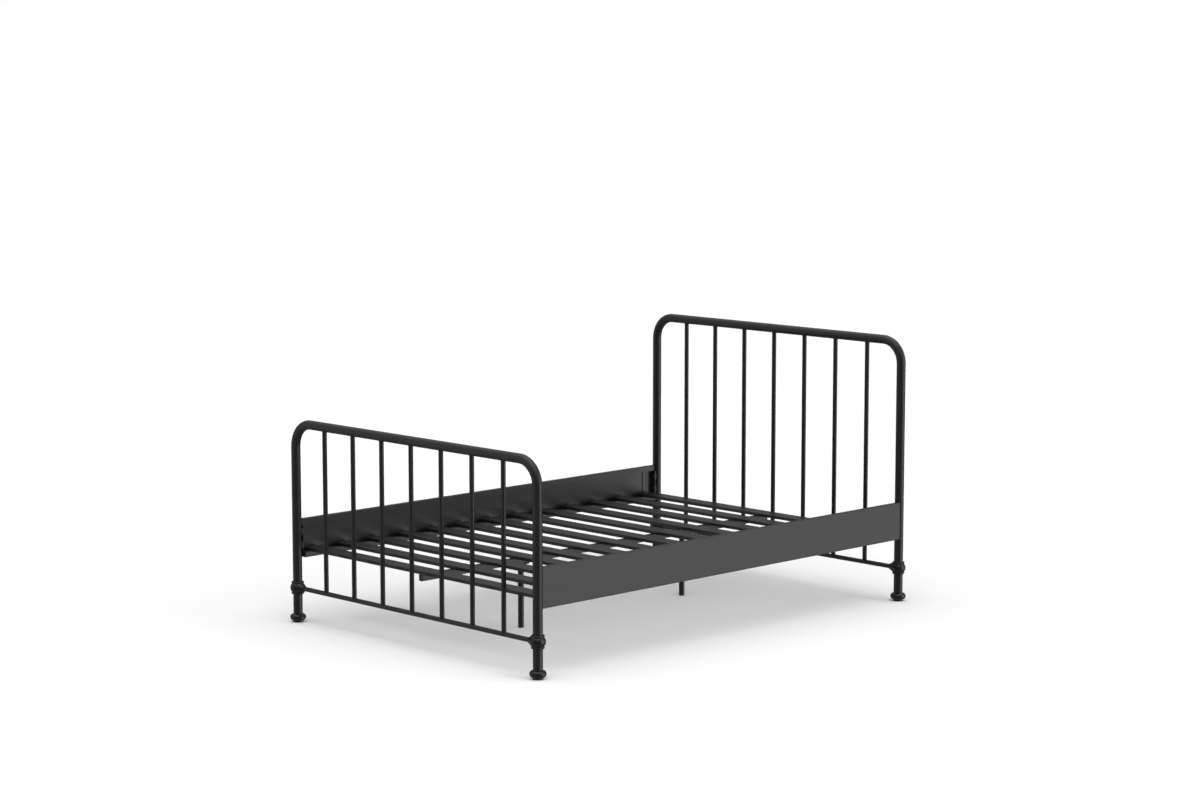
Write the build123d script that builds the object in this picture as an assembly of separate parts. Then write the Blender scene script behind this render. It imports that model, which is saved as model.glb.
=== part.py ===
from build123d import *
import os

# Metal bed frame. X runs across the bed, Y from the footboard to the headboard, Z up from the floor.
# All sizes are in millimetres, and the origin is on the floor in the middle of the bed.

# Posts, measured between tube axes
post_spacing = 1436.0
board_spacing = 2085.0
footboard_height = 820.5
headboard_height = 1106.0

# Hoop tube, which is both posts and the top rail of a board
post_diameter = 38.0
post_wall = 1.5
hoop_bend_radius = 96.0

# Spindles and the lower rail of a board
spindle_count = 7
spindle_pitch = 177.0
spindle_diameter = 19.0
spindle_wall = 1.2
lower_rail_height = 142.0
lower_rail_diameter = 19.0
lower_rail_wall = 1.2
weld_gap = 0.2

# Cast knuckle: a barrel between two beads round the post, with a tapered socket for the lower rail
knuckle_stand_out = 11.5
barrel_curve = 24.0
bead_offset = 22.0
bead_stand_out = 7.0
bead_radius = 4.3
socket_root_reach = 14.0
socket_reach = 47.0
socket_lip = 1.6
socket_floor_wall = 4.0
casting_clearance = 0.3
casting_valley = 1.5

# Bun foot with a spigot up into the post
bun_stand_out = 13.4
bun_curve = 14.0
bun_middle_height = 20.5
foot_base_stand_out = 2.0
foot_base_height = 7.0
spigot_length = 25.0
spigot_clearance = 0.3

# Side rail, a lipped channel of folded sheet that is open towards the bed
rail_bottom = 266.0
rail_height = 158.0
rail_depth = 18.0
rail_inset = 4.5
rail_sheet = 1.2
rail_fold = 3.0
rail_end_gap = 0.3

# Slat ledge, a rectangular tube along the foot of the rail
ledge_width = 20.0
ledge_height = 24.0
ledge_wall = 1.2
ledge_corner = 2.5

# Corner bracket between rail and post, bolted through saddles into thread inserts
bracket_sheet = 3.0
bracket_fold = 5.0
bracket_leg = 60.0
bracket_reach = 12.0
bracket_margin = 3.0
bolt_pitch = 56.0
bolt_diameter = 8.0
bolt_clearance = 0.5
bolt_head_diameter = 13.0
bolt_head_height = 4.5
bolt_flange_diameter = 16.0
bolt_flange_height = 1.5
bolt_socket_width = 5.0
bolt_socket_depth = 2.8
bolt_engagement = 11.0
thread_clearance = 0.15
saddle_web = 2.5
saddle_width = 24.0
saddle_height = 26.0
saddle_depth = 6.0
insert_diameter = 11.0
insert_length = 14.0
insert_flange_diameter = 14.0
insert_flange_height = 1.2
insert_clearance = 0.2

# Slats, shallow channels of folded sheet that are open below
slat_count = 13
slat_width = 70.0
slat_height = 14.0
slat_sheet = 1.0
slat_fold = 3.0
slat_end_gap = 1.0
slat_margin = 45.0

# Plastic end caps and centre clips of the slats
cap_head = 2.0
cap_length = 26.0
cap_wall = 2.0
cap_clearance = 0.3
peg_diameter = 8.0
peg_length = 7.0
clip_length = 46.0
clip_lip = 3.0
clip_drop = 7.0

# Centre beam and the plugs in open tube ends
beam_width = 20.0
beam_height = 27.0
beam_wall = 1.2
beam_corner = 2.5
plug_head = 2.0
plug_length = 18.0
plug_clearance = 0.3

# Centre legs with their plates, screws and levelling feet
leg_spacing = 934.0
leg_diameter = 24.0
leg_wall = 1.2
leg_plate_width = 30.0
leg_plate_length = 76.0
leg_plate_thickness = 3.0
leg_plate_corner = 6.0
screw_pitch = 52.0
screw_diameter = 6.0
screw_clearance = 0.3
screw_head_diameter = 11.0
screw_head_height = 3.4
screw_grip = 8.0
levelling_pad_height = 6.0
levelling_pad_round = 1.5
levelling_gap = 0.3
levelling_stud_diameter = 8.0
levelling_stud_length = 26.0

post_radius = post_diameter / 2
post_x = post_spacing / 2
board_y = board_spacing / 2
foot_top = bun_middle_height + bun_curve
lower_rail_radius = lower_rail_diameter / 2
socket_floor = post_radius + casting_clearance + socket_floor_wall

rail_outer = post_x + post_radius - rail_inset
rail_inner = rail_outer - rail_depth
rail_middle = rail_bottom + rail_height / 2
slat_rest = rail_bottom + ledge_height
ledge_middle = rail_inner - ledge_width / 2

bracket_face = board_y - post_radius - saddle_web
bracket_back = bracket_face - bracket_sheet
ledge_length = 2 * bracket_back
bolt_heights = [rail_middle - bolt_pitch / 2, rail_middle + bolt_pitch / 2]

slat_end = rail_inner - slat_end_gap
slat_span = board_spacing - 2 * slat_margin
slat_pitch = (slat_span - slat_width) / (slat_count - 1)
slat_places = [slat_pitch * (n - (slat_count - 1) / 2) for n in range(slat_count)]
filler_width = slat_width - 2 * slat_sheet - 2 * cap_clearance
filler_height = slat_height - slat_sheet - cap_clearance

beam_bottom = slat_rest - beam_height
leg_top = beam_bottom - leg_plate_thickness
leg_bottom = levelling_pad_height + levelling_gap + plug_head

boards = {"footboard": -1, "headboard": 1}
top_heights = {"footboard": footboard_height, "headboard": headboard_height}
sides = {"left": -1, "right": 1}
leg_ends = {"foot_end": -1, "head_end": 1}
corner_of_box = (Align.MIN, Align.MIN)
on_seat = (Align.CENTER, Align.CENTER, Align.MIN)


def tube_section(diameter, wall):
    return Circle(diameter / 2) - Circle(diameter / 2 - wall)


def folded_ring(width, height, sheet, fold):
    outside = RectangleRounded(width, height, fold)
    inside = RectangleRounded(width - 2 * sheet, height - 2 * sheet, fold - sheet)
    return outside - inside


def plane_across_y(place):
    return Plane(origin=(0, place, 0), z_dir=(0, 1, 0))


def rod_along_y(radius, start, end):
    return extrude(plane_across_y(start) * Circle(radius), end - start)


def mirrored(shape, side, end):
    # Every corner piece is drawn at the right-hand headboard corner
    if side < 0:
        shape = mirror(shape, about=Plane.YZ)
    if end < 0:
        shape = mirror(shape, about=Plane.XZ)
    return shape


def hoop(top_height, end):
    corners = [(-post_x, foot_top), (-post_x, top_height), (post_x, top_height), (post_x, foot_top)]
    path = Plane.XZ * FilletPolyline(*corners, radius=hoop_bend_radius)
    section = Pos(-post_x, 0, foot_top) * tube_section(post_diameter, post_wall)
    tube = Pos(0, end * board_y, 0) * sweep(section, path)
    hole_radius = insert_diameter / 2 + insert_clearance
    for height in bolt_heights:
        hole = Pos(post_x, 0, height) * rod_along_y(hole_radius, board_y - 2 * post_radius, board_y)
        for side in sides.values():
            tube -= mirrored(hole, side, end)
    return tube


def lower_rail(end):
    half_length = post_x - socket_floor - casting_clearance
    section = Plane.YZ * tube_section(lower_rail_diameter, lower_rail_wall)
    return Pos(0, end * board_y, lower_rail_height) * extrude(section, half_length, both=True)


def spindle(place, top_height, end):
    # Both ends are coped to the round of the rail that they meet
    length = top_height - lower_rail_height
    rod = extrude(tube_section(spindle_diameter, spindle_wall), length)
    cope_length = 2 * spindle_diameter
    rod -= Rot(0, 90, 0) * Cylinder(lower_rail_radius + weld_gap, cope_length)
    rod -= Pos(0, 0, length) * Rot(0, 90, 0) * Cylinder(post_radius + weld_gap, cope_length)
    return Pos(place, end * board_y, lower_rail_height) * rod


def knuckle():
    bore = post_radius + casting_clearance
    bead_ring = post_radius + bead_stand_out - bead_radius
    barrel = Pos(post_radius + knuckle_stand_out - barrel_curve, 0) * Circle(barrel_curve)
    sleeve = Pos(bead_ring / 2, 0) * Rectangle(bead_ring, 2 * bead_offset)
    upper_bead = Pos(bead_ring, bead_offset) * Circle(bead_radius)
    lower_bead = Pos(bead_ring, -bead_offset) * Circle(bead_radius)
    collar_reach = 2 * (post_radius + knuckle_stand_out)
    outside_bore = Pos(bore, 0) * Rectangle(collar_reach, collar_reach, align=(Align.MIN, Align.CENTER))
    section = (barrel + sleeve + upper_bead + lower_bead) & outside_bore
    valleys = section.vertices().group_by(Axis.X)[-1]
    section = fillet(valleys, casting_valley)
    collar = revolve(Plane.XZ * section, Axis.Z)
    socket_length = socket_reach - socket_root_reach
    root_radius = bead_offset + bead_radius
    taper = Cone(root_radius, lower_rail_radius + socket_lip, socket_length)
    socket = Pos(-socket_root_reach - socket_length / 2, 0, 0) * Rot(0, -90, 0) * taper
    casting = collar + socket - Cylinder(bore, 2 * collar_reach)
    rail_hole = Cylinder(lower_rail_radius + casting_clearance, socket_reach)
    casting -= Pos(-socket_floor - socket_reach / 2, 0, 0) * Rot(0, 90, 0) * rail_hole
    return Pos(post_x, board_y, lower_rail_height) * casting


def bun_foot():
    bun_ring = post_radius + bun_stand_out - bun_curve
    base_radius = post_radius + foot_base_stand_out
    spigot_radius = post_radius - post_wall - spigot_clearance
    bun = Pos(bun_ring, bun_middle_height) * Circle(bun_curve)
    core = Rectangle(bun_ring, foot_top, align=corner_of_box)
    base = Rectangle(base_radius, foot_base_height, align=corner_of_box)
    spigot = Rectangle(spigot_radius, foot_top + spigot_length, align=corner_of_box)
    above_floor = Rectangle(2 * base_radius, 2 * foot_top + spigot_length, align=corner_of_box)
    section = (bun + core + base + spigot) & above_floor
    base_corners = section.vertices().group_by(Axis.X)[-1]
    section = fillet(base_corners, casting_valley)
    return Pos(post_x, board_y, 0) * revolve(Plane.XZ * section, Axis.Z)


def side_rail():
    # Both ends are coped to the round of the posts
    ring = folded_ring(rail_depth, rail_height, rail_sheet, rail_fold)
    opening = Rectangle(rail_depth, rail_height - 2 * ledge_height)
    section = ring - Pos(-rail_depth / 2, 0) * opening
    channel = extrude(Plane.XZ * section, board_y, both=True)
    channel = Pos(rail_outer - rail_depth / 2, 0, rail_middle) * channel
    cope = Cylinder(post_radius + rail_end_gap, 2 * rail_height)
    for end in boards.values():
        channel -= Pos(post_x, end * board_y, rail_middle) * cope
    return channel


def slat_ledge():
    section = Plane.XZ * folded_ring(ledge_width, ledge_height, ledge_wall, ledge_corner)
    tube = extrude(section, ledge_length / 2 - plug_head, both=True)
    tube = Pos(ledge_middle, 0, slat_rest - ledge_height / 2) * tube
    hole = Cylinder(peg_diameter / 2 + cap_clearance, 2 * (ledge_wall + ledge_corner))
    for place in slat_places:
        tube -= Pos(ledge_middle, place, slat_rest) * hole
    return tube


def corner_bracket():
    web_face = rail_outer - rail_sheet
    flange_edge = post_x - bracket_reach
    flange_width = web_face - flange_edge
    leg_end = bracket_face - bracket_leg
    height = rail_height - 2 * ledge_height - 2 * bracket_margin
    ring = folded_ring(2 * flange_width, 2 * bracket_leg, bracket_sheet, bracket_fold)
    section = ring & Rectangle(flange_width, bracket_leg, align=corner_of_box)
    plate = extrude(Pos(flange_edge, leg_end, rail_middle) * section, height / 2, both=True)
    hole_radius = bolt_diameter / 2 + bolt_clearance
    for bolt_height in bolt_heights:
        plate -= Pos(post_x, 0, bolt_height) * rod_along_y(hole_radius, leg_end, board_y)
    return plate


def saddle():
    # Flat towards the bracket and hollowed to the round of the post
    middle = bracket_face + saddle_depth / 2
    block = Pos(0, middle, 0) * Box(saddle_width, saddle_depth, saddle_height)
    block -= Pos(0, board_y, 0) * Cylinder(post_radius + weld_gap, 2 * saddle_height)
    bore = insert_flange_diameter / 2 + insert_clearance
    return block - rod_along_y(bore, bracket_face - saddle_depth, board_y)


def thread_insert():
    seat = board_y - post_radius
    body = rod_along_y(insert_diameter / 2, seat - insert_flange_height, seat + insert_length)
    flange = rod_along_y(insert_flange_diameter / 2, seat - insert_flange_height, seat)
    bore = rod_along_y(bolt_diameter / 2 + thread_clearance, bracket_back, board_y + insert_length)
    return body + flange - bore


def rail_bolt():
    flange_top = bracket_back - bolt_flange_height
    head_top = flange_top - bolt_head_height
    tip = board_y - post_radius + bolt_engagement
    shank = rod_along_y(bolt_diameter / 2, flange_top, tip)
    flange = rod_along_y(bolt_flange_diameter / 2, flange_top, bracket_back)
    head = rod_along_y(bolt_head_diameter / 2, head_top, flange_top)
    crown = head.edges().group_by(Axis.Y)[0]
    head = fillet(crown, bolt_head_height / 2)
    key_outline = RegularPolygon(bolt_socket_width / 2, 6, major_radius=False)
    key_hole = extrude(plane_across_y(head_top) * key_outline, bolt_socket_depth)
    return shank + flange + head - key_hole


def at_bolts(piece):
    copies = []
    for side in sides.values():
        for end in boards.values():
            for bolt_height in bolt_heights:
                copies.append(mirrored(Pos(post_x, 0, bolt_height) * piece, side, end))
    return copies


def slat_channel(place):
    ring = folded_ring(slat_width, 2 * slat_height, slat_sheet, slat_fold)
    section = ring & Rectangle(slat_width, slat_height, align=(Align.CENTER, Align.MIN))
    channel = extrude(Plane.YZ * section, slat_end - cap_head, both=True)
    return Pos(0, place, slat_rest) * channel


def slat_filler(length):
    # Moulding that fits into the hollow of a slat and is open below like the slat
    block = Box(length, filler_width, filler_height, align=on_seat)
    top_edges = block.edges().filter_by(Axis.X).group_by(Axis.Z)[-1]
    block = chamfer(top_edges, slat_fold - slat_sheet)
    pocket_length = length - 2 * cap_wall
    pocket_width = filler_width - 2 * cap_wall
    block -= Box(pocket_length, pocket_width, filler_height - cap_wall, align=on_seat)
    return Pos(0, 0, slat_rest) * block


def slat_end_cap(place):
    filler = Pos(slat_end - cap_head - cap_length / 2, 0, 0) * slat_filler(cap_length)
    ring = RectangleRounded(slat_width, 2 * slat_height, slat_fold)
    face = ring & Rectangle(slat_width, slat_height, align=(Align.CENTER, Align.MIN))
    head = Pos(slat_end, 0, slat_rest) * extrude(Plane.YZ * face, -cap_head)
    peg = Cylinder(peg_diameter / 2, peg_length + filler_height, align=on_seat)
    cap = filler + head + Pos(ledge_middle, 0, slat_rest - peg_length) * peg
    return Pos(0, place, 0) * cap


def slat_clip(place):
    # The lips run up through the hollow to the roof of the moulding
    lip_size = (clip_lip, slat_width / 2, clip_drop + filler_height)
    lip = Box(*lip_size, align=(Align.MIN, Align.CENTER, Align.MIN))
    lip = Pos(beam_width / 2 + cap_clearance, 0, slat_rest - clip_drop) * lip
    clip = slat_filler(clip_length) + [lip, mirror(lip, about=Plane.YZ)]
    return Pos(0, place, 0) * clip


def centre_beam():
    section = Plane.XZ * folded_ring(beam_width, beam_height, beam_wall, beam_corner)
    tube = extrude(section, slat_span / 2 - plug_head, both=True)
    tube = Pos(0, 0, slat_rest - beam_height / 2) * tube
    hole = Cylinder(screw_diameter / 2 + screw_clearance, 2 * (beam_wall + beam_corner))
    for x, y in screw_places():
        tube -= Pos(x, y, beam_bottom) * hole
    return tube


def screw_places():
    places = []
    for end in leg_ends.values():
        for step in (-1, 1):
            places.append((0, end * leg_spacing / 2 + step * screw_pitch / 2))
    return places


def rectangular_plug(width, height, wall, corner):
    fit = wall + plug_clearance
    head = extrude(Plane.XZ * RectangleRounded(width, height, corner), plug_head)
    stem_face = RectangleRounded(width - 2 * fit, height - 2 * fit, corner - wall)
    return head + extrude(Plane.XZ * stem_face, plug_head + plug_length)


def leg_plug():
    head = Cylinder(leg_diameter / 2, plug_head, align=(Align.CENTER, Align.CENTER, Align.MAX))
    stem_radius = leg_diameter / 2 - leg_wall - plug_clearance
    stem = Cylinder(stem_radius, plug_length, align=on_seat)
    bore = Cylinder(levelling_stud_diameter / 2 + thread_clearance, 4 * plug_length)
    return Pos(0, 0, leg_bottom) * (head + stem - bore)


def tube_plugs():
    ledge_plug = rectangular_plug(ledge_width, ledge_height, ledge_wall, ledge_corner)
    ledge_plug = Pos(ledge_middle, ledge_length / 2, slat_rest - ledge_height / 2) * ledge_plug
    beam_plug = rectangular_plug(beam_width, beam_height, beam_wall, beam_corner)
    beam_plug = Pos(0, slat_span / 2, slat_rest - beam_height / 2) * beam_plug
    plugs = [mirrored(ledge_plug, side, end) for side in sides.values() for end in boards.values()]
    for end in leg_ends.values():
        plugs.append(mirrored(beam_plug, 1, end))
        plugs.append(Pos(0, end * leg_spacing / 2, 0) * leg_plug())
    return plugs


def leg_plate(end):
    plate = extrude(RectangleRounded(leg_plate_width, leg_plate_length, leg_plate_corner), leg_plate_thickness)
    plate = Pos(0, end * leg_spacing / 2, leg_top) * plate
    hole = Cylinder(screw_diameter / 2 + screw_clearance, 4 * leg_plate_thickness)
    for x, y in screw_places():
        plate -= Pos(x, y, leg_top) * hole
    return plate


def leg_screw(x, y):
    head = Cylinder(screw_head_diameter / 2, screw_head_height, align=(Align.CENTER, Align.CENTER, Align.MAX))
    head = fillet(head.edges().group_by(Axis.Z)[0], screw_head_height / 2)
    length = leg_plate_thickness + screw_grip
    shank = Cylinder(screw_diameter / 2, length, align=on_seat)
    return Pos(x, y, leg_top) * (head + shank)


def centre_leg(end):
    tube = extrude(tube_section(leg_diameter, leg_wall), leg_top - leg_bottom)
    return Pos(0, end * leg_spacing / 2, leg_bottom) * tube


def levelling_foot(end):
    pad = Cylinder(leg_diameter / 2, levelling_pad_height, align=on_seat)
    pad = fillet(pad.edges().group_by(Axis.Z)[0], levelling_pad_round)
    stud_top = levelling_pad_height + levelling_stud_length
    stud = Cylinder(levelling_stud_diameter / 2, stud_top, align=on_seat)
    return Pos(0, end * leg_spacing / 2, 0) * (pad + stud)


nodes = {}
for board, end in boards.items():
    top_height = top_heights[board]
    nodes[f"{board}_hoop"] = hoop(top_height, end)
    nodes[f"{board}_lower_rail"] = lower_rail(end)
    for n in range(spindle_count):
        place = spindle_pitch * (n - (spindle_count - 1) / 2)
        nodes[f"{board}_spindle_{n + 1}"] = spindle(place, top_height, end)
    for name, side in sides.items():
        nodes[f"{board}_{name}_knuckle"] = mirrored(knuckle(), side, end)
        nodes[f"{board}_{name}_bun_foot"] = mirrored(bun_foot(), side, end)
        nodes[f"{board}_{name}_corner_bracket"] = mirrored(corner_bracket(), side, end)

for name, side in sides.items():
    nodes[f"{name}_side_rail"] = mirrored(side_rail(), side, 1)
    nodes[f"{name}_slat_ledge"] = mirrored(slat_ledge(), side, 1)

nodes["rail_saddles"] = Compound(at_bolts(saddle()))
nodes["post_thread_inserts"] = Compound(at_bolts(thread_insert()))
nodes["rail_bolts"] = Compound(at_bolts(rail_bolt()))

for n, place in enumerate(slat_places):
    nodes[f"slat_{n + 1:02d}"] = slat_channel(place)
caps = [mirrored(slat_end_cap(place), side, 1) for place in slat_places for side in sides.values()]
nodes["slat_end_caps"] = Compound(caps)
nodes["slat_centre_clips"] = Compound([slat_clip(place) for place in slat_places])

nodes["centre_beam"] = centre_beam()
nodes["tube_end_plugs"] = Compound(tube_plugs())
nodes["leg_plates"] = Compound([leg_plate(end) for end in leg_ends.values()])
nodes["leg_screws"] = Compound([leg_screw(x, y) for x, y in screw_places()])
for name, end in leg_ends.items():
    nodes[f"{name}_centre_leg"] = centre_leg(end)
    nodes[f"{name}_levelling_foot"] = levelling_foot(end)

os.makedirs("parts", exist_ok=True)
for name, shape in nodes.items():
    export_step(shape, f"parts/{name}.step")
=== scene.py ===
import math

import bpy
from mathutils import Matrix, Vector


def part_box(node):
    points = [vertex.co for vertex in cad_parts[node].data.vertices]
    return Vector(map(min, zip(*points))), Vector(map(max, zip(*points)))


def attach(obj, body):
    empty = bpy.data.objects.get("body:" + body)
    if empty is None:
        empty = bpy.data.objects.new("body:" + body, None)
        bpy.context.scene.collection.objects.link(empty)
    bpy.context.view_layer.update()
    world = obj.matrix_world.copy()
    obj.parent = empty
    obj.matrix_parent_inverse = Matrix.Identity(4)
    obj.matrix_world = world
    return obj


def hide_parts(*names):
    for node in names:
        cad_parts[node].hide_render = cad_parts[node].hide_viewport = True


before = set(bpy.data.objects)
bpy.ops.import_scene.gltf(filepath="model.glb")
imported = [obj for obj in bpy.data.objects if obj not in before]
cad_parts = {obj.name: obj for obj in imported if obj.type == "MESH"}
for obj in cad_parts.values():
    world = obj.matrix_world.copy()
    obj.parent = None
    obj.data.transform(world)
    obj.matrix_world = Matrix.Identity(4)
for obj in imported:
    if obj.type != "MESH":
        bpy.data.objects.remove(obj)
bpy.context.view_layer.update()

scene = bpy.context.scene
mm = 0.001
bedBody = "bed_frame"
boards = {"footboard": -1, "headboard": 1}   # which way along Y each one stands
sides = {"left": -1, "right": 1}   # and along X
legEnds = ("foot_end", "head_end")
print("frame loaded:", len(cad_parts), "nodes")


class Wire:
    # One output of a node. Sums of wires add Math nodes to the same sheet.
    def __init__(self, sheet, socket):
        self.sheet = sheet
        self.socket = socket

    def out(self, name):
        return Wire(self.sheet, self.socket.node.outputs[name])

    def maths(self, operation, *terms):
        return self.sheet.node("ShaderNodeMath", {"operation": operation}, dict(enumerate(terms)))

    def __add__(self, other):
        return self.maths("ADD", self, other)

    def __radd__(self, other):
        return self.maths("ADD", other, self)

    def __sub__(self, other):
        return self.maths("SUBTRACT", self, other)

    def __rsub__(self, other):
        return self.maths("SUBTRACT", other, self)

    def __mul__(self, other):
        return self.maths("MULTIPLY", self, other)

    def __rmul__(self, other):
        return self.maths("MULTIPLY", other, self)

    def __truediv__(self, other):
        return self.maths("DIVIDE", self, other)

    def __rtruediv__(self, other):
        return self.maths("DIVIDE", other, self)

    def __pow__(self, other):
        return self.maths("POWER", self, other)

    def __rpow__(self, other):
        return self.maths("POWER", other, self)

    def __abs__(self):
        return self.maths("ABSOLUTE", self)

    def sine(self):
        return self.maths("SINE", self)

    def atLeast(self, least):
        return self.maths("MAXIMUM", self, least)


class Sheet:
    # A node tree that is filled one node at a time
    def __init__(self, tree):
        self.tree = tree

    def node(self, kind, settings=None, sockets=None, output=0):
        made = self.tree.nodes.new(kind)
        for name, value in (settings or {}).items():
            setattr(made, name, value)
        for name, value in (sockets or {}).items():
            if isinstance(value, Wire):
                self.tree.links.new(value.socket, made.inputs[name])
            else:
                made.inputs[name].default_value = value
        return Wire(self, made.outputs[output]) if len(made.outputs) else made

    def between(self, factor, first, second):
        picks = {0: factor, 6: first, 7: second}   # sockets 6 and 7 take colours, and output 2 gives one
        return self.node("ShaderNodeMix", {"data_type": "RGBA"}, picks, 2)

    def noise(self, place, scale, detail=2):
        sockets = {"Vector": place, "Scale": scale, "Detail": detail}
        return self.node("ShaderNodeTexNoise", None, sockets)

    def ramp(self, value, start, end):
        limits = {"Value": value, "From Min": start, "From Max": end}
        return self.node("ShaderNodeMapRange", {"interpolation_type": "SMOOTHSTEP"}, limits)

    def join(self, shapes):
        joined = self.node("GeometryNodeJoinGeometry")
        for shape in shapes:
            self.tree.links.new(shape.socket, joined.socket.node.inputs["Geometry"])
        return joined


def newFinish(name):
    finish = bpy.data.materials.new(name)
    finish.use_nodes = True
    finish.node_tree.nodes.clear()
    sheet = Sheet(finish.node_tree)
    place = sheet.node("ShaderNodeTexCoord", output="Object")
    return finish, sheet, place


def closeFinish(sheet, shader, relief):
    # The relief is in metres, so the bump's own strength and distance stay at 1
    bump = sheet.node("ShaderNodeBump", None, {"Strength": 1.0, "Distance": 1.0, "Height": relief})
    surface = sheet.node("ShaderNodeBsdfPrincipled", None, {**shader, "Normal": bump})
    sheet.node("ShaderNodeOutputMaterial", None, {"Surface": surface})


# Baked powder coat on tube and sheet: satin black with the soft waves of melted powder
powderCoat = {
    "dark": (0.0075, 0.0075, 0.0077, 1),
    "light": (0.0130, 0.0130, 0.0132, 1),
    "cloudShare": 0.6,   # of the change from dark to light, and grain has the rest
    "specular": 0.36,
    "roughness": 0.27,
    "cloudRoughness": 0.06,
    "grainRoughness": 0.08,
    "cloudScale": 8,
    "waveScale": 300,
    "grainScale": 1150,
    "waveDepth": 0.11 * mm,
    "grainDepth": 0.045 * mm,
}


def powderCoatFinish(look):
    finish, sheet, place = newFinish("powderCoat")
    cloud = sheet.noise(place, look["cloudScale"], detail=3)
    wave = sheet.noise(place, look["waveScale"])
    grain = sheet.noise(place, look["grainScale"], detail=1)
    mottle = cloud * look["cloudShare"] + grain * (1 - look["cloudShare"])
    shader = {
        "Base Color": sheet.between(mottle, look["dark"], look["light"]),
        "Roughness": look["roughness"] + cloud * look["cloudRoughness"] + grain * look["grainRoughness"],
        "Specular IOR Level": look["specular"],
    }
    closeFinish(sheet, shader, wave * look["waveDepth"] + grain * look["grainDepth"])
    return finish


# Coated castings: the same black over the skin that a sand mould leaves, rubbed where a foot meets the floor
castCoat = {
    "dark": (0.0035, 0.0035, 0.0036, 1),
    "light": (0.0075, 0.0075, 0.0076, 1),
    "specular": 0.37,
    "roughness": 0.17,
    "skinRoughness": 0.10,
    "skinScale": 190,
    "pitScale": 620,
    "pitWidth": 0.28,
    "grainScale": 1700,
    "skinDepth": 0.18 * mm,
    "pitDepth": 0.09 * mm,
    "grainDepth": 0.04 * mm,
    "rubbed": (0.030, 0.029, 0.028, 1),
    "rubbedHeight": 1.5 * mm,
    "rubbedRoughness": 0.15,
    "scuffScale": 240,
    "scuffFrom": 0.42,
    "scuffFull": 0.62,
}


def castCoatFinish(look):
    finish, sheet, place = newFinish("castCoat")
    skin = sheet.noise(place, look["skinScale"], detail=4)
    grain = sheet.noise(place, look["grainScale"], detail=1)
    cell = sheet.node("ShaderNodeTexVoronoi", None, {"Vector": place, "Scale": look["pitScale"]})
    pit = sheet.ramp(cell, 0.0, look["pitWidth"])
    height = sheet.node("ShaderNodeSeparateXYZ", None, {0: place}, "Z")
    scuff = sheet.noise(place, look["scuffScale"], detail=3)
    scuffed = sheet.ramp(scuff, look["scuffFrom"], look["scuffFull"])
    rubbed = sheet.ramp(height, look["rubbedHeight"], 0.0) * scuffed
    coat = sheet.between(skin, look["dark"], look["light"])
    shader = {
        "Base Color": sheet.between(rubbed, coat, look["rubbed"]),
        "Roughness": look["roughness"] + skin * look["skinRoughness"] + rubbed * look["rubbedRoughness"],
        "Specular IOR Level": look["specular"],
    }
    relief = skin * look["skinDepth"] + pit * look["pitDepth"] + grain * look["grainDepth"]
    closeFinish(sheet, shader, relief)
    return finish


# Moulded plastic of caps, clips, plugs and pads: dull, with a fine pebble grain
mouldedPlastic = {
    "dark": (0.0130, 0.0130, 0.0135, 1),
    "light": (0.0240, 0.0240, 0.0240, 1),
    "cloudShare": 0.5,   # of the change from dark to light, and the pebbles have the rest
    "roughness": 0.50,
    "pebbleRoughness": 0.16,
    "pebbleScale": 1300,
    "pebbleTop": 0.1,
    "pebbleEdge": 0.7,
    "cloudScale": 30,
    "pebbleDepth": 0.05 * mm,
}


def mouldedPlasticFinish(look):
    finish, sheet, place = newFinish("mouldedPlastic")
    sockets = {"Vector": place, "Scale": look["pebbleScale"]}
    cell = sheet.node("ShaderNodeTexVoronoi", {"feature": "SMOOTH_F1"}, sockets)
    pebble = 1 - sheet.ramp(cell, look["pebbleTop"], look["pebbleEdge"])
    cloud = sheet.noise(place, look["cloudScale"], detail=3)
    mottle = cloud * look["cloudShare"] + pebble * (1 - look["cloudShare"])
    shader = {
        "Base Color": sheet.between(mottle, look["dark"], look["light"]),
        "Roughness": look["roughness"] + (1 - pebble) * look["pebbleRoughness"],
    }
    closeFinish(sheet, shader, pebble * look["pebbleDepth"])
    return finish


# Black-plated steel of bolts, screws, inserts and studs: cloudy, with the fine lines of the drawn bar
platedSteel = {
    "dark": (0.040, 0.040, 0.043, 1),
    "light": (0.110, 0.110, 0.115, 1),
    "cloudShare": 0.7,   # of the change from dark to light, and the lines have the rest
    "roughness": 0.30,
    "cloudRoughness": 0.20,
    "cloudScale": 160,
    "lineScale": 1400,
    "lineStretch": (1, 0.12, 1),
    "lineDepth": 0.012 * mm,
}


def platedSteelFinish(look):
    finish, sheet, place = newFinish("platedSteel")
    cloud = sheet.noise(place, look["cloudScale"], detail=4)
    sockets = {"Vector": place, "Scale": look["lineStretch"]}
    stretched = sheet.node("ShaderNodeMapping", None, sockets)
    line = sheet.noise(stretched, look["lineScale"], detail=1)
    mottle = cloud * look["cloudShare"] + line * (1 - look["cloudShare"])
    shader = {
        "Base Color": sheet.between(mottle, look["dark"], look["light"]),
        "Roughness": look["roughness"] + cloud * look["cloudRoughness"],
        "Metallic": 1.0,
    }
    closeFinish(sheet, shader, line * look["lineDepth"])
    return finish


finishes = {
    "black_powder_coat": powderCoatFinish(powderCoat),
    "cast_black": castCoatFinish(castCoat),
    "black_plastic": mouldedPlasticFinish(mouldedPlastic),
    "black_hardware": platedSteelFinish(platedSteel),
}
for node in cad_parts.values():
    for slot in node.material_slots:
        slot.material = finishes[slot.material.name]
print("finishes laid on the CAD nodes:", sorted(finishes))


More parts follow.
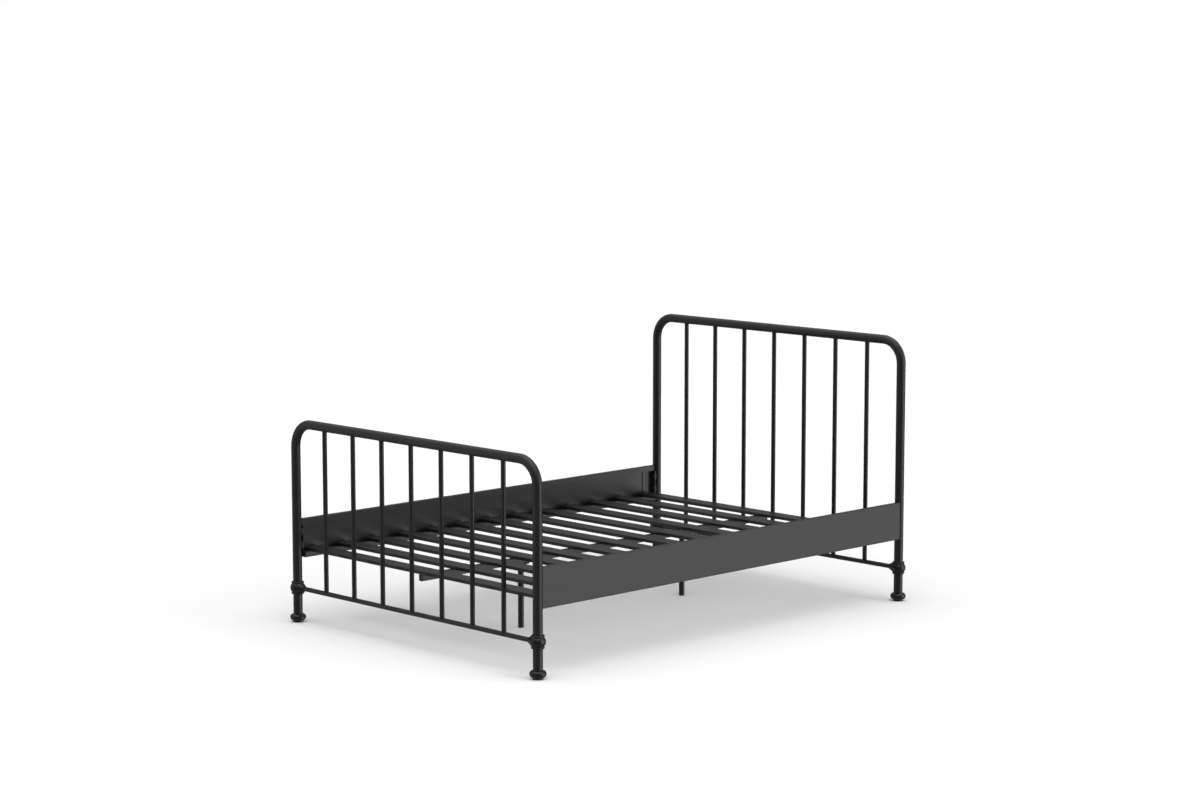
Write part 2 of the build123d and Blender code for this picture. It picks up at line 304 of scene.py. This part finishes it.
def newTree(name, inputs):
    kinds = {
        int: "NodeSocketInt",
        float: "NodeSocketFloat",
        tuple: "NodeSocketVector",
        bpy.types.Object: "NodeSocketObject",
        bpy.types.Material: "NodeSocketMaterial",
    }
    tree = bpy.data.node_groups.new(name, "GeometryNodeTree")
    tree.interface.new_socket("Geometry", in_out="OUTPUT", socket_type="NodeSocketGeometry")
    for label, kind in {**inputs, "Finish": bpy.types.Material}.items():
        tree.interface.new_socket(label, in_out="INPUT", socket_type=kinds[kind])
    sheet = Sheet(tree)
    return tree, sheet, sheet.node("NodeGroupInput")


def closeTree(sheet, given, shape):
    solid = sheet.node("GeometryNodeRealizeInstances", None, {"Geometry": shape})
    smooth = sheet.node("GeometryNodeSetShadeSmooth", None, {"Geometry": solid})
    sockets = {"Geometry": smooth, "Material": given.out("Finish")}
    coated = sheet.node("GeometryNodeSetMaterial", None, sockets)
    sheet.node("NodeGroupOutput", None, {"Geometry": coated})


def growPiece(name, tree, values, body, slotName):
    piece = bpy.data.objects.new(name, bpy.data.meshes.new(name))
    scene.collection.objects.link(piece)
    modifier = piece.modifiers.new("grow", "NODES")
    modifier.node_group = tree
    values = {**values, "Finish": finishes[slotName]}
    for item in tree.interface.items_tree:
        if item.in_out == "INPUT":
            modifier[item.identifier] = values[item.name]
    evaluated = piece.evaluated_get(bpy.context.evaluated_depsgraph_get())
    grown = bpy.data.meshes.new_from_object(evaluated)
    piece.modifiers.remove(modifier)
    piece.data = grown
    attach(piece, body)


def middleOf(node):
    low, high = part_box(node)
    return (low + high) / 2


rowInputs = {"Count": int, "First": tuple, "Step": tuple}


def layInRow(sheet, given, shape):
    sockets = {"Count": given.out("Count"), "Start Location": given.out("First"), "Offset": given.out("Step")}
    row = sheet.node("GeometryNodeMeshLine", {"mode": "OFFSET"}, sockets)
    copies = sheet.node("GeometryNodeInstanceOnPoints", None, {"Points": row, "Instance": shape})
    closeTree(sheet, given, copies)


# How welds and seams are swept. Where a bead runs out to nothing its last ring is merged to a point.
beadSweep = {
    "weldSides": 8,
    "seamSides": 6,
    "merge": 0.005 * mm,
    "endFullness": 0.4,   # lower is blunter
    "ringSteps": 72,
    "stitchSteps": 56,
    "seamSteps": 96,
    "sideThinning": 0.75,
}
beadInputs = {"Bead Radius": float, "Ripples": int, "Ripple Depth": float}


def sweepBead(sheet, path, scale, profileSides):
    circle = {"Resolution": profileSides, "Radius": 1.0}
    profile = sheet.node("GeometryNodeCurvePrimitiveCircle", None, circle)
    sockets = {"Curve": path, "Profile Curve": profile, "Scale": scale}
    bead = sheet.node("GeometryNodeCurveToMesh", None, sockets)
    sockets = {"Geometry": bead, "Distance": beadSweep["merge"]}
    return sheet.node("GeometryNodeMergeByDistance", None, sockets)


def roundedEnds(sheet):
    along = sheet.node("GeometryNodeSplineParameter")
    return (along * math.pi).sine() ** beadSweep["endFullness"]


def rippled(sheet, given):
    along = sheet.node("GeometryNodeSplineParameter")
    ripple = abs((along * given.out("Ripples") * math.pi).sine())
    return given.out("Bead Radius") * (1 - ripple * given.out("Ripple Depth"))


# Bead round the foot of a tube that stands on a round rail, or on a plate where the rail radius is 0
def ringBeadTree():
    inputs = {**rowInputs, **beadInputs, "Tube Radius": float, "Rail Radius": float, "Side": float}
    tree, sheet, given = newTree("ringBead", inputs)
    circle = {"Resolution": beadSweep["ringSteps"], "Radius": given.out("Tube Radius")}
    ring = sheet.node("GeometryNodeCurvePrimitiveCircle", None, circle)
    where = sheet.node("GeometryNodeInputPosition")
    across = sheet.node("ShaderNodeSeparateXYZ", None, {0: where}, "Y")
    railRadius = given.out("Rail Radius")
    rise = (railRadius ** 2 - across ** 2).atLeast(0.0) ** 0.5
    lift = sheet.node("ShaderNodeCombineXYZ", None, {"Z": rise * given.out("Side")})
    seat = sheet.node("GeometryNodeSetPosition", None, {"Geometry": ring, "Offset": lift})
    # Thinner where tube and rail run side by side
    thinned = 1 - (across / railRadius) ** 2 * beadSweep["sideThinning"]
    bead = sweepBead(sheet, seat, rippled(sheet, given) * thinned, beadSweep["weldSides"])
    layInRow(sheet, given, bead)
    return tree


# Short straight bead with rounded ends
def stitchBeadTree():
    tree, sheet, given = newTree("stitchBead", {**rowInputs, **beadInputs, "Along": tuple})
    ends = []
    for share in (-0.5, 0.5):
        sockets = {0: given.out("Along"), "Scale": share}
        ends.append(sheet.node("ShaderNodeVectorMath", {"operation": "SCALE"}, sockets))
    line = sheet.node("GeometryNodeCurvePrimitiveLine", None, {"Start": ends[0], "End": ends[1]})
    sockets = {"Curve": line, "Count": beadSweep["stitchSteps"]}
    path = sheet.node("GeometryNodeResampleCurve", None, sockets)
    scale = rippled(sheet, given) * roundedEnds(sheet)
    layInRow(sheet, given, sweepBead(sheet, path, scale, beadSweep["weldSides"]))
    return tree


ringBead = ringBeadTree()
stitchBead = stitchBeadTree()

# Welds where the spindles stand on the lower rail and meet the top rail
spindleWeld = {"Count": 7, "Bead Radius": 1.7 * mm, "Ripples": 30, "Ripple Depth": 0.28}
for board in boards:
    hoopLow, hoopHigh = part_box(f"{board}_hoop")
    railLow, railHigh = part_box(f"{board}_lower_rail")
    spindleLow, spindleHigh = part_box(f"{board}_spindle_1")
    hoopRadius = (hoopHigh.y - hoopLow.y) / 2
    railRadius = (railHigh.z - railLow.z) / 2
    first = middleOf(f"{board}_spindle_1")
    step = middleOf(f"{board}_spindle_2") - first
    rows = {
        "top": (hoopHigh.z - hoopRadius, hoopRadius, -1.0),
        "bottom": (railHigh.z - railRadius, railRadius, 1.0),
    }
    for row, (railHeight, radius, side) in rows.items():
        values = {
            **spindleWeld,
            "First": (first.x, first.y, railHeight),
            "Step": (step.x, 0.0, 0.0),
            "Tube Radius": (spindleHigh.x - spindleLow.x) / 2,
            "Rail Radius": radius,
            "Side": side,
        }
        growPiece(f"{board}_{row}_spindle_welds", ringBead, values, bedBody, "black_powder_coat")

# Welds between the centre legs and their plates
legWeld = {"Count": 2, "Bead Radius": 1.6 * mm, "Ripples": 34, "Ripple Depth": 0.28}
legLow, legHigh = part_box("foot_end_centre_leg")
legMiddle = middleOf("foot_end_centre_leg")
legStep = middleOf("head_end_centre_leg") - legMiddle
values = {
    **legWeld,
    "First": (legMiddle.x, legMiddle.y, legHigh.z),
    "Step": (0.0, legStep.y, 0.0),
    "Tube Radius": (legHigh.x - legLow.x) / 2,
    "Rail Radius": 0.0,
    "Side": 1.0,
}
growPiece("centre_leg_welds", ringBead, values, bedBody, "black_powder_coat")

# Stitch welds that hold each ledge to its rail, in the gaps between slats
ledgeWeld = {
    "Count": 12,
    "Bead Radius": 1.9 * mm,
    "Ripples": 9,
    "Ripple Depth": 0.3,
    "Along": (0.0, 28 * mm, 0.0),
    "sink": 0.6 * mm,
}
slatMiddle = middleOf("slat_01").y
slatStep = middleOf("slat_02").y - slatMiddle
for side, way in sides.items():
    low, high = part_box(f"{side}_slat_ledge")
    corner = low.x if way < 0 else high.x
    for row, height in (("upper", high.z - ledgeWeld["sink"]), ("lower", low.z + ledgeWeld["sink"])):
        values = {
            **ledgeWeld,
            "First": (corner, slatMiddle + slatStep / 2, height),
            "Step": (0.0, slatStep, 0.0),
        }
        growPiece(f"{side}_ledge_{row}_welds", stitchBead, values, bedBody, "black_powder_coat")

# Upright welds that hold each corner bracket to the web of its rail
bracketWeld = {"Count": 1, "Bead Radius": 1.8 * mm, "Ripples": 20, "Ripple Depth": 0.3, "share": 0.8}
for board, end in boards.items():
    for side, way in sides.items():
        low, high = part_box(f"{board}_{side}_corner_bracket")
        web = low.x if way < 0 else high.x
        edge = high.y if end < 0 else low.y
        values = {
            **bracketWeld,
            "Along": (0.0, 0.0, (high.z - low.z) * bracketWeld["share"]),
            "First": (web - way * bracketWeld["Bead Radius"] / 2, edge, (low.z + high.z) / 2),
            "Step": (0.0, 0.0, 0.0),
        }
        growPiece(f"{board}_{side}_bracket_weld", stitchBead, values, bedBody, "black_powder_coat")
print("welds laid")


# Fine ridge that the halves of the mould leave on a casting. Arcs round the casting are drawn in onto its skin.
def seamTree(arcs):
    inputs = {"Casting": bpy.types.Object, "Centre": tuple, "Way": float, "Reach": float}
    tree, sheet, given = newTree("mouldSeam", {**inputs, "Bead Radius": float, "Sink": float})
    casting = sheet.node("GeometryNodeObjectInfo", None, {"Object": given.out("Casting")}, "Geometry")
    rounds = []
    for start, end in arcs:
        sockets = {
            "Resolution": beadSweep["seamSteps"],
            "Radius": given.out("Reach"),
            "Start Angle": math.radians(start),
            "Sweep Angle": math.radians(end - start),
        }
        rounds.append(sheet.node("GeometryNodeCurveArc", None, sockets))
    sockets = {
        "Geometry": sheet.join(rounds),
        "Translation": given.out("Centre"),
        "Rotation": (math.pi / 2, 0, 0),
        "Scale": sheet.node("ShaderNodeCombineXYZ", None, {"X": given.out("Way"), "Y": 1.0, "Z": 1.0}),
    }
    path = sheet.node("GeometryNodeTransform", None, sockets)
    where = sheet.node("GeometryNodeInputPosition")
    sockets = {0: given.out("Centre"), 1: where}
    toCentre = sheet.node("ShaderNodeVectorMath", {"operation": "SUBTRACT"}, sockets)
    inward = sheet.node("ShaderNodeVectorMath", {"operation": "NORMALIZE"}, {0: toCentre})
    sockets = {0: inward, "Scale": given.out("Sink")}
    sunk = sheet.node("ShaderNodeVectorMath", {"operation": "SCALE"}, sockets)
    sockets = {
        "Target Geometry": casting,
        "Source Position": where,
        "Ray Direction": inward,
        "Ray Length": given.out("Reach"),
    }
    skin = sheet.node("GeometryNodeRaycast", None, sockets, "Hit Position")
    sockets = {"Geometry": path, "Position": skin, "Offset": sunk}
    seated = sheet.node("GeometryNodeSetPosition", None, sockets)
    scale = given.out("Bead Radius") * roundedEnds(sheet)
    closeTree(sheet, given, sweepBead(sheet, seated, scale, beadSweep["seamSides"]))
    return tree


# Mould seams on the knuckles, in the plane of their board: over the barrel, and along the top and foot of the
# socket. Angles are in degrees round the middle of the knuckle, from the side away from the socket.
knuckleSeam = {"Reach": 80 * mm, "Bead Radius": 0.75 * mm, "Sink": 0.56 * mm}
knuckleArcs = [(-50, 50), (129, 165), (195, 231)]
mouldSeam = seamTree(knuckleArcs)
for board in boards:
    for side, way in sides.items():
        knuckle = f"{board}_{side}_knuckle"
        post = middleOf(f"{board}_{side}_bun_foot")
        values = {
            **knuckleSeam,
            "Casting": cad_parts[knuckle],
            "Centre": (post.x, post.y, middleOf(knuckle).z),
            "Way": float(way),
        }
        growPiece(f"{knuckle}_seam", mouldSeam, values, bedBody, "cast_black")
print("mould seams drawn on the knuckles")

# Levelling feet: a fluted plastic pad moulded round a threaded stud
levellingFoot = {
    "padHeight": 6 * mm,
    "lowerRound": 1.5 * mm,
    "upperRound": 0.8 * mm,
    "roundSteps": 6,
    "ringSteps": 160,
    "sharpAngle": 35,
    "flutes": 20,
    "fluteDepth": 0.55 * mm,
    "fluteNarrowing": 3,
    "studRadius": 4 * mm,
    "threadPitch": 1.25 * mm,
    "threadDepth": 0.62 * mm,
    "threadStart": 5.5 * mm,
    "threadSides": 4,
    "threadSteps": 24,
    "coreSides": 32,
}


# Helical ridge of a screw thread round a plain core
def threadTree(foot):
    inputs = {**rowInputs, "Turns": float, "Height": float, "Root Radius": float, "Crest Radius": float}
    tree, sheet, given = newTree("thread", inputs)
    root, height = given.out("Root Radius"), given.out("Height")
    sockets = {
        "Resolution": foot["threadSteps"],
        "Rotations": given.out("Turns"),
        "Start Radius": root,
        "End Radius": root,
        "Height": height,
    }
    spiral = sheet.node("GeometryNodeCurveSpiral", None, sockets)
    circle = {"Resolution": foot["threadSides"], "Radius": 1.0}
    sockets = {
        "Curve": spiral,
        "Profile Curve": sheet.node("GeometryNodeCurvePrimitiveCircle", None, circle),
        "Scale": given.out("Crest Radius") - root,
        "Fill Caps": True,
    }
    ridge = sheet.node("GeometryNodeCurveToMesh", None, sockets)
    sockets = {"Vertices": foot["coreSides"], "Radius": root, "Depth": height}
    core = sheet.node("GeometryNodeMeshCylinder", None, sockets)
    half = sheet.node("ShaderNodeCombineXYZ", None, {"Z": height * 0.5})
    raised = sheet.node("GeometryNodeTransform", None, {"Geometry": core, "Translation": half})
    layInRow(sheet, given, sheet.join([ridge, raised]))
    return tree


def padProfile(radius, foot):
    lower, upper = foot["lowerRound"], foot["upperRound"]
    shoulder = foot["padHeight"] - upper
    angles = [math.pi / 2 * step / foot["roundSteps"] for step in range(foot["roundSteps"] + 1)]
    points = [(0.0, 0.0)]
    for angle in angles:
        points.append((radius - lower + lower * math.sin(angle), lower - lower * math.cos(angle)))
    for angle in angles:
        points.append((radius - upper + upper * math.cos(angle), shoulder + upper * math.sin(angle)))
    points.append((0.0, foot["padHeight"]))
    return points


def turnedPad(name, centre, radius, foot):
    profile = padProfile(radius, foot)
    rings = profile[1:-1]
    steps = foot["ringSteps"]
    verts = [(centre.x, centre.y, centre.z + profile[0][1])]
    for reach, height in rings:
        grip = min(1, max(0, (reach - (radius - foot["lowerRound"])) / foot["upperRound"]))   # none underneath
        for step in range(steps):
            angle = 2 * math.pi * step / steps
            crest = (0.5 + 0.5 * math.cos(foot["flutes"] * angle)) ** foot["fluteNarrowing"]
            inset = reach - crest * foot["fluteDepth"] * grip
            x = centre.x + inset * math.cos(angle)
            y = centre.y + inset * math.sin(angle)
            verts.append((x, y, centre.z + height))
    verts.append((centre.x, centre.y, centre.z + profile[-1][1]))
    faces = []
    for step in range(steps):
        after = (step + 1) % steps
        faces.append((0, 1 + after, 1 + step))
        for ring in range(len(rings) - 1):
            here, above = 1 + ring * steps, 1 + (ring + 1) * steps
            faces.append((here + step, here + after, above + after, above + step))
        last = 1 + (len(rings) - 1) * steps
        faces.append((last + step, last + after, len(verts) - 1))
    mesh = bpy.data.meshes.new(name)
    mesh.from_pydata(verts, [], faces)
    mesh.shade_smooth()
    mesh.set_sharp_from_angle(angle=math.radians(foot["sharpAngle"]))
    pad = bpy.data.objects.new(name, mesh)
    scene.collection.objects.link(pad)
    return pad


thread = threadTree(levellingFoot)
for end in legEnds:
    node = f"{end}_levelling_foot"
    body = f"{node}_body"
    low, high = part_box(node)
    centre = middleOf(node)
    centre.z = low.z
    pad = turnedPad(f"{end}_levelling_pad", centre, (high.x - low.x) / 2, levellingFoot)
    pad.data.materials.append(finishes["black_plastic"])
    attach(pad, body)
    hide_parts(node)
    start = low.z + levellingFoot["threadStart"]
    values = {
        "Count": 1,
        "First": (centre.x, centre.y, start),
        "Step": (0.0, 0.0, 0.0),
        "Turns": (high.z - start) / levellingFoot["threadPitch"],
        "Height": high.z - start,
        "Root Radius": levellingFoot["studRadius"] - levellingFoot["threadDepth"],
        "Crest Radius": levellingFoot["studRadius"],
    }
    growPiece(f"{end}_levelling_stud", thread, values, body, "black_hardware")
print("levelling feet made")

# Pale floor, wide enough to reach the horizon
floorLook = {"half": 150.0, "colour": (0.93, 0.93, 0.93, 1), "roughness": 0.9}
floorMesh = bpy.data.meshes.new("floor")
reach = floorLook["half"]
corners = [(-reach, -reach, 0), (reach, -reach, 0), (reach, reach, 0), (-reach, reach, 0)]
floorMesh.from_pydata(corners, [], [(0, 1, 2, 3)])
floor = bpy.data.objects.new("floor", floorMesh)
scene.collection.objects.link(floor)
floorFinish, sheet, place = newFinish("paleFloor")
sockets = {"Color": floorLook["colour"], "Roughness": floorLook["roughness"]}
surface = sheet.node("ShaderNodeBsdfDiffuse", None, sockets)
sheet.node("ShaderNodeOutputMaterial", None, {"Surface": surface})
floorMesh.materials.append(floorFinish)
floor.visible_glossy = False

# A room that is dim all round and bright overhead, with a faint glow from the floor, a wide soft window on the
# right and a dull one on the left
roomLight = {
    "horizon": 0.20,
    "overhead": 2.35,
    "overheadNarrowing": 3.0,
    "floorGlow": 0.15,
    "floorGlowFrom": 0.15,
    "floorGlowFull": 0.70,
    "backdrop": 1.0,
    "windows": [
        {"strength": 2.4, "azimuth": 33, "height": 2, "inner": 18, "outer": 36},
        {"strength": 0.45, "azimuth": 230, "height": 2, "inner": 14, "outer": 40},
    ],
}


def windowLevel(sheet, direction, window):
    turn, rise = math.radians(window["azimuth"]), math.radians(window["height"])
    middle = (math.cos(rise) * math.cos(turn), math.cos(rise) * math.sin(turn), math.sin(rise))
    sockets = {0: direction, 1: middle}
    facing = sheet.node("ShaderNodeVectorMath", {"operation": "DOT_PRODUCT"}, sockets, "Value")
    outer, inner = math.cos(math.radians(window["outer"])), math.cos(math.radians(window["inner"]))
    return sheet.ramp(facing, outer, inner) * window["strength"]


def roomLevel(sheet, light):
    direction = sheet.node("ShaderNodeTexCoord", output="Generated")
    height = sheet.node("ShaderNodeSeparateXYZ", None, {0: direction}, "Z")
    level = light["horizon"] + height.atLeast(0.0) ** light["overheadNarrowing"] * light["overhead"]
    below = sheet.ramp(0 - height, light["floorGlowFrom"], light["floorGlowFull"])
    level = level + below * light["floorGlow"]
    for window in light["windows"]:
        level = level + windowLevel(sheet, direction, window)
    return level


world = bpy.data.worlds.new("studio")
world.use_nodes = True
world.node_tree.nodes.clear()
sheet = Sheet(world.node_tree)
seen = sheet.node("ShaderNodeLightPath", output="Is Camera Ray")
strength = seen * roomLight["backdrop"] + (1 - seen) * roomLevel(sheet, roomLight)
glow = sheet.node("ShaderNodeBackground", None, {"Color": (1, 1, 1, 1), "Strength": strength})
sheet.node("ShaderNodeOutputWorld", None, {"Surface": glow})
scene.world = world
scene.view_settings.view_transform = "Standard"

# The photograph's viewpoint, found from the lines of the tubes
photoCamera = {
    "place": (8.1446, -7.9556, 2.3760),
    "azimuth": 45.747,
    "pitch": 7.46,
    "lens": 83.581,
    "sensor": 36.0,
}
lens = bpy.data.cameras.new("photoCamera")
lens.sensor_width = photoCamera["sensor"]
lens.lens = photoCamera["lens"]
camera = bpy.data.objects.new("photoCamera", lens)
camera.location = photoCamera["place"]
camera.rotation_euler = (math.radians(90 - photoCamera["pitch"]), 0, math.radians(photoCamera["azimuth"]))
scene.collection.objects.link(camera)
scene.camera = camera
print("floor, light and camera set")
